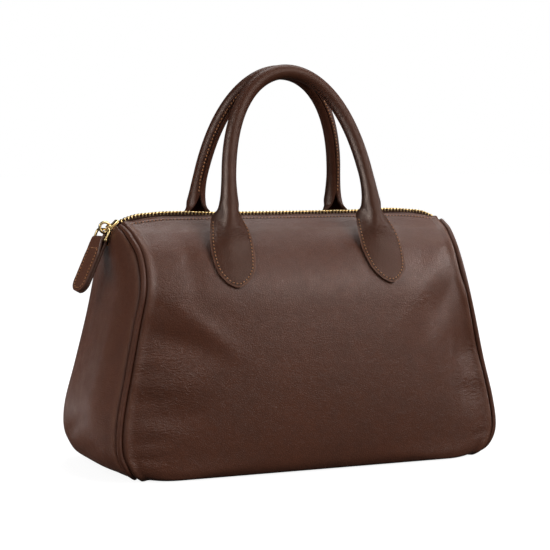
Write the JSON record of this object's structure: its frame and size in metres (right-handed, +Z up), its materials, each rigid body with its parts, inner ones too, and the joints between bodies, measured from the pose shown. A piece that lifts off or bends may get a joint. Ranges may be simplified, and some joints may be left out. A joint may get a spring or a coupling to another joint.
{
  "type": "leather bowling handbag",
  "caption": "Soft leather handbag in the bowling shape: arched ends with piped seams, zip along the top with a leather pull, and a pair of rolled handles on stitched tabs.",
  "frame": {"origin": "middle of the flat base, on the surface that the bag stands on", "axes": "+X along the bag towards the end away from the zip pull, +Y towards the back, +Z up"},
  "size_m": [0.3749, 0.1724, 0.344],
  "materials": {
    "body_leather": "dark brown, fine grain, soft sheen",
    "handle_leather": "dark brown, smooth, satin, tan stitching",
    "zip_tape": "brown woven tape, matt",
    "brass": "polished, light gold"
  },
  "bodies": {
    "bag": {"body_wrap": "body_leather", "end_panel_left": "body_leather", "end_panel_right": "body_leather", "piping_left": "body_leather", "piping_right": "body_leather", "zip_tape_front": "zip_tape", "zip_tape_back": "zip_tape", "zip_teeth_front": "brass", "zip_teeth_back": "brass", "zip_slider": "brass", "handle_front": "handle_leather", "handle_back": "handle_leather"},
    "pull": {"pull_link": "brass", "pull_tab": "handle_leather"}
  },
  "joints": [
    {"name": "pull_swing", "type": "hinge", "parent": "bag", "child": "pull", "pos_m": [-0.16382, 0, 0.20319], "axis": [-0.2756, 0.9613, 0], "range_deg": [0, 105]}
  ]
}
